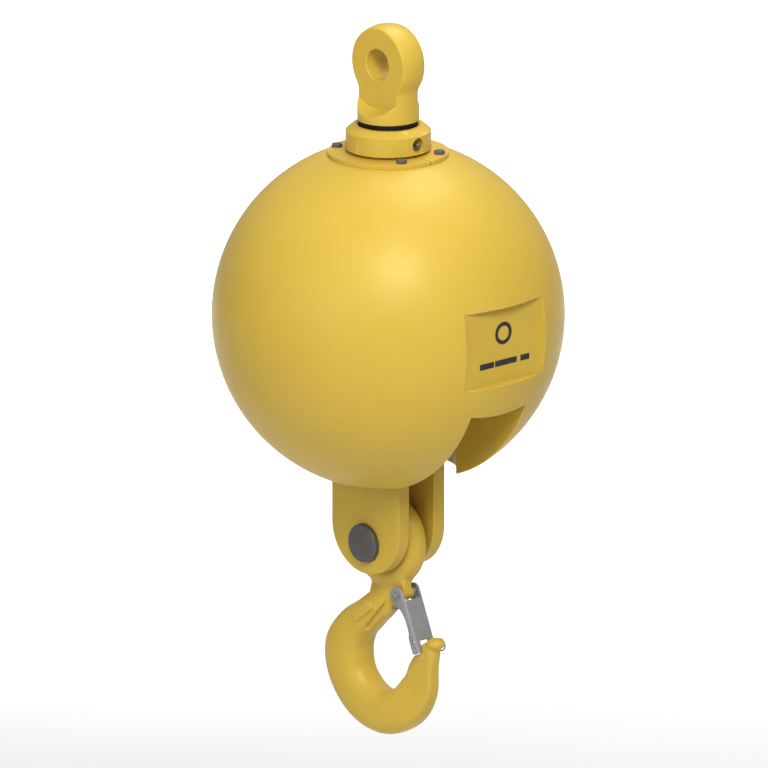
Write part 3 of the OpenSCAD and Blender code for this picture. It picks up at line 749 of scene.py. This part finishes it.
def pocket_field(p):
    """The long pocket forged beside the latch lug."""
    flat = p[:, [0, 2]]
    run = POCKET_EDGE[1] - POCKET_EDGE[0]
    run = run / np.linalg.norm(run)
    aside = np.array([-run[1], run[0]])
    beside = (flat - POCKET_EDGE[0]) @ aside
    beyond = (flat - POCKET_EDGE[1]) @ run
    outline = both(np.maximum(-beside, beside - POCKET_WIDE),
                   np.maximum(beyond, -beyond - POCKET_LONG), 3.5 * MM)
    return both(outline, p[:, 1] - POCKET_FLOOR_Y, 1.5 * MM)


def size_pad_field(p):
    """The plain raised pad on the hook's shoulder."""
    away = p[:, [0, 2]] - PAD_CENTRE
    along = away @ np.array([math.cos(PAD_ANGLE), math.sin(PAD_ANGLE)])
    sideways = away @ np.array([-math.sin(PAD_ANGLE), math.cos(PAD_ANGLE)])
    outline = both(np.abs(along) - PAD_HALF[0], np.abs(sideways) - PAD_HALF[1], 1 * MM)
    return both(outline, between(p[:, 1], PAD_FACE_Y, 0), 0.6 * MM)


def nib_field(n, y, u):
    """The nib on the hook's tip that stands between the latch's sides."""
    nib = both(between(n, NIB_N, NIB_N + NIB_DEEP), np.abs(y) - NIB_HALF, 1 * MM)
    return both(nib, between(u, *NIB_U), 1 * MM)


def shoulder_field(n, y, u):
    """The shoulder under the latch's foot."""
    shoulder = both(between(n, *SHOULDER_N), between(u, *SHOULDER_U))
    return both(shoulder, np.abs(y) - SHOULDER_HALF, 1.5 * MM)


def latch_seat_field(n, y, u):
    """What is cut from the tip so that the latch's foot can swing in and shut on it."""
    seat_n = between(n, SEAT_BACK_N, WEB_N + SEAT_GAP)
    seat_u = np.maximum(SEAT_TOP_U - u, np.hypot(n, u) - SEAT_REACH)
    flats = both(both(seat_n, NIB_HALF - np.abs(y)), seat_u, 1 * MM)
    throat = both(both(between(n, SEAT_BACK_N, NIB_N), np.abs(y) - NIB_HALF), seat_u)
    notch = both(both(seat_n, np.abs(y) - NOTCH_HALF), between(u, *NOTCH_U), 1 * MM)
    return either(either(flats, throat), notch)


def hook_field(world):
    p = world - np.array([0, 0, PIN_Z])
    x, y, z = p.T
    n, _, u = in_latch_frame(world).T
    eye = np.hypot(np.hypot(x, z + HOOK_DROP) - HOOK_EYE_R, y) - EYE_TUBE_R
    lug = both(polygon_field(x, z, LUG_OUTLINE), between(y, *LUG_Y), 1.5 * MM)
    boss = both(np.hypot(n, u) - BOSS_R, between(y, *BOSS_Y), 0.6 * MM)
    shape = either(sweep_field(p), eye, 5 * MM)
    shape = either(shape, ellipsoid(p, KNOB_CENTRE, KNOB_HALF), 2.5 * MM)
    shape = either(shape, lug, 4 * MM)
    shape = either(shape, boss, 1 * MM)
    shape = less(shape, pocket_field(p), 1.4 * MM)
    shape = either(shape, size_pad_field(p), 0.8 * MM)
    shape = either(shape, nib_field(n, y, u), 3 * MM)
    shape = either(shape, shoulder_field(n, y, u), 2 * MM)
    shape = less(shape, latch_seat_field(n, y, u), 0.8 * MM)
    shape = less(shape, np.hypot(n - LOCK_N, u - LOCK_U) - LOCK_R, 0.4 * MM)
    return less(shape, np.hypot(n, u) - PIVOT_HOLE_R, 0.4 * MM)


def make_hook():
    low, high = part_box("load_hook")
    hook = solid("hook_forging", hook_field, low, high, 2.6 * MM, 8, 0.35 * MM, 3)
    stand_in(hook, "load_hook", "hook", "yellow_paint")


# ---------------------------------------------------------------- latch plate

LATCH_HALF = 15 * MM
LATCH_SHEET = 3 * MM
LATCH_EAR_R = 10 * MM
LATCH_WEB_TOP = 8.5 * MM
LATCH_NOTCH_U, LATCH_NOTCH_HALF, LATCH_NOTCH_N = 56.5 * MM, 7.6 * MM, 4 * MM
# The outline of the plate's sides, as n and u in mm
LATCH_SIDE = [(-7.4, 6.7), (-1.6, 15), (0.8, 19), (2.4, 24), (3.6, 31), (3.9, 38), (3.4, 45), (1.2, 50),
              (0.8, 54), (0.8, 68), (2.8, 70), (11.1, 70), (11.1, 8.5), (10, 0), (0, 0)]
# n, u and radius of the pivot, lock pin and drain holes, mm
LATCH_HOLES = [(0, 0, 3.05), (5.9, 66.5, 3.05), (6.4, 56, 2)]


def latch_field(world):
    n, y, u = in_latch_frame(world).T
    y = np.abs(y)
    shape = both(n - WEB_N, y - LATCH_HALF, 3.5 * MM)
    inner = both(n - WEB_N + LATCH_SHEET, y - LATCH_HALF + LATCH_SHEET, 1 * MM)
    side = np.minimum(polygon_field(n, u, LATCH_SIDE), np.hypot(n, u) - LATCH_EAR_R)
    shape = both(less(shape, inner), side, 0.4 * MM)
    head = both(both(u - LATCH_WEB_TOP, y - LATCH_HALF + LATCH_SHEET, 1 * MM), -n)
    shape = less(shape, head, 0.4 * MM)
    notch = both(both(LATCH_NOTCH_U - u, y - LATCH_NOTCH_HALF, 1.2 * MM), LATCH_NOTCH_N - n)
    shape = less(shape, notch, 0.4 * MM)
    for hole_n, hole_u, radius in LATCH_HOLES:
        shape = less(shape, np.hypot(n - hole_n * MM, u - hole_u * MM) - radius * MM, 0.3 * MM)
    return shape


def make_latch():
    low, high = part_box("latch_plate")
    plate = solid("latch_pressing", latch_field, low, high, 1.2 * MM, 9, 0.25 * MM, 3)
    stand_in(plate, "latch_plate", "latch", "plated_steel")


# ---------------------------------------------------------------- CAD parts with eased edges

# How far the edges of each part are rounded, in mm
EASED = {
    "bearing_cap": 0.9, "retaining_ring_front": 0.4, "retaining_ring_rear": 0.4, "ring_bolts": 0.4,
    "clevis_pin": 0.5, "pin_keeper_plate": 0.8, "keeper_bolts": 0.5,
    "latch_pivot_pin": 0.3, "pivot_pin_clip": 0.2, "lock_pin": 0.3, "shaft_seal": 0.5,
    "grease_nipple": 0.2,
}
FLAT_ANGLE, SHARP_ANGLE = math.radians(0.6), math.radians(28)


def ease(node, width):
    """A copy of a CAD part whose sharp edges are rounded by width."""
    source = frame["nodes"][node]
    bm = bmesh.new()
    bm.from_mesh(source.data)
    bmesh.ops.remove_doubles(bm, verts=bm.verts, dist=0.002 * MM)
    bmesh.ops.dissolve_limit(bm, angle_limit=FLAT_ANGLE, verts=bm.verts, edges=bm.edges)
    bmesh.ops.recalc_face_normals(bm, faces=bm.faces)
    sharp = [e for e in bm.edges if len(e.link_faces) == 2 and e.calc_face_angle() > SHARP_ANGLE]
    bmesh.ops.bevel(
        bm, geom=sharp, offset=width, offset_type="OFFSET", segments=3, profile=0.5,
        affect="EDGES", clamp_overlap=True, harden_normals=False)
    bmesh.ops.triangulate(bm, faces=[f for f in bm.faces if len(f.verts) > 4])
    mesh = bpy.data.meshes.new(node + "_eased")
    bm.to_mesh(mesh)
    bm.free()
    mesh.shade_smooth()
    made = bpy.data.objects.new(node + "_eased", mesh)
    bpy.context.scene.collection.objects.link(made)
    weighted = made.modifiers.new("even normals", "WEIGHTED_NORMAL")
    weighted.mode = "FACE_AREA"
    weighted.keep_sharp = True
    return made


def slot_of(node):
    return next(s["material_slot"] for s in frame["record"]["subparts"] if s["node"] == node)


def body_of(node):
    return next(b for b, nodes in frame["record"]["behaviour"]["bodies"].items() if node in nodes)


def make_eased_parts():
    for node, width in EASED.items():
        stand_in(ease(node, width * MM), node, body_of(node), slot_of(node))


def finish_cad_parts():
    """Gives every CAD part its material, shown or hidden."""
    for name, node in frame["nodes"].items():
        node.data.materials.clear()
        node.data.materials.append(FINISHES[slot_of(name)])


# ---------------------------------------------------------------- latch spring and pull ring

SPRING_WIRE_R = 0.7 * MM
SPRING_COIL_R = 6.6
SPRING_Y, SPRING_RISE, SPRING_SWEEP = 8.2, 2.2, math.radians(515)
PULL_WIRE_R = 0.8 * MM
CIRCLE_STEPS = 64


def from_latch(n, y, down):
    """A point given in the latch's frame in mm, in the CAD frame."""
    flat = n * LATCH_N + down * LATCH_U
    return LATCH_PIVOT + Vector((flat[0], y, flat[1])) * MM


def wire(name, points, radius, closed=False):
    """A round wire along a smooth curve through the points, as a mesh."""
    curve = bpy.data.curves.new(name, "CURVE")
    curve.dimensions = "3D"
    curve.bevel_depth = radius
    curve.bevel_resolution = 4
    curve.use_fill_caps = True
    line = curve.splines.new("POLY")
    line.points.add(len(points) - 1)
    line.use_cyclic_u = closed
    for point, place in zip(line.points, points):
        point.co = (*place, 1)
    shape = bpy.data.objects.new(name, curve)
    bpy.context.scene.collection.objects.link(shape)
    bpy.context.view_layer.update()
    mesh = bpy.data.meshes.new_from_object(shape.evaluated_get(bpy.context.evaluated_depsgraph_get()))
    bpy.data.objects.remove(shape)
    mesh.shade_smooth()
    made = bpy.data.objects.new(name, mesh)
    bpy.context.scene.collection.objects.link(made)
    return made


def spring_route():
    """The web leg, a turn and a half round the pivot, and the leg that hooks the neck."""
    web_leg = [(7.3, SPRING_Y, 26), (7.2, SPRING_Y, 16), (6.8, SPRING_Y, 6)]
    turns = [
        (SPRING_COIL_R * math.cos(SPRING_SWEEP * t), SPRING_Y + SPRING_RISE * t,
         -SPRING_COIL_R * math.sin(SPRING_SWEEP * t))
        for t in np.linspace(0, 1, 27)]
    far = SPRING_Y + SPRING_RISE
    neck_leg = [(-9.5, far, 4.8), (-13, far, 12.6), (-13.7, far - 1.4, 13.9), (-13.7, 0, 13.9),
                (-13.7, -11.6, 13.9), (-13.4, -12.8, 12.8), (-11.4, -12.8, 8.9)]
    route = np.array(web_leg + turns + neck_leg, float)
    return [from_latch(*row) for row in smooth_line(route, 6)]


def make_spring():
    spring = wire("latch_spring_wire", spring_route(), SPRING_WIRE_R)
    spring.data.materials.append(FINISHES["spring_steel"])
    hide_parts("latch_spring")
    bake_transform(spring)


def circle_angles():
    return np.linspace(0, 2 * math.pi, CIRCLE_STEPS, endpoint=False)


def make_pull_ring():
    low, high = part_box("pull_ring")
    centre = (low + high) / 2
    radius = (high - low).x / 2 - PULL_WIRE_R
    route = [centre + radius * Vector((math.cos(a), 0, math.sin(a)))
             for a in circle_angles()]
    ring = wire("pull_ring_wire", route, PULL_WIRE_R, closed=True)
    stand_in(ring, "pull_ring", "pull_ring", "spring_steel")


# ---------------------------------------------------------------- plain mark on the panel

MARK_LIFT = 0.12 * MM
MARK_RING = (13 * MM, 8.5 * MM)
MARK_RING_UP = 13 * MM
MARK_BARS = [(-26 * MM, 22 * MM), (4 * MM, 34 * MM), (34 * MM, 14 * MM)]
MARK_BAR_DOWN = 21 * MM
MARK_BAR_HALF = 3.4 * MM


def make_panel_mark():
    """A plain ring over three plain bars, in black on the ball's panel."""
    bm = bmesh.new()
    x = PANEL_X + MARK_LIFT
    outer, inner = [
        [bm.verts.new((x, r * math.cos(a), BALL_Z + MARK_RING_UP + r * math.sin(a)))
         for a in circle_angles()] for r in MARK_RING]
    for k in range(CIRCLE_STEPS):
        bm.faces.new((outer[k], outer[k - 1], inner[k - 1], inner[k]))
    for centre, length in MARK_BARS:
        corners = [(-1, -1), (1, -1), (1, 1), (-1, 1)]
        bm.faces.new([
            bm.verts.new((x, centre + s * length / 2, BALL_Z - MARK_BAR_DOWN + t * MARK_BAR_HALF))
            for s, t in corners])
    bmesh.ops.recalc_face_normals(bm, faces=bm.faces)
    mesh = bpy.data.meshes.new("panel_mark")
    bm.to_mesh(mesh)
    bm.free()
    mark = bpy.data.objects.new("panel_mark", mesh)
    bpy.context.scene.collection.objects.link(mark)
    thickness = mark.modifiers.new("film", "SOLIDIFY")
    thickness.thickness = MARK_LIFT * 2
    thickness.offset = 0
    mark.data.materials.append(ink())
    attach(mark, "swivel_body")


# ---------------------------------------------------------------- build

add_camera()
add_studio()
finish_cad_parts()
make_ball()
make_top_eye()
make_clevis()
make_hook()
make_latch()
make_eased_parts()
make_spring()
make_pull_ring()
make_panel_mark()
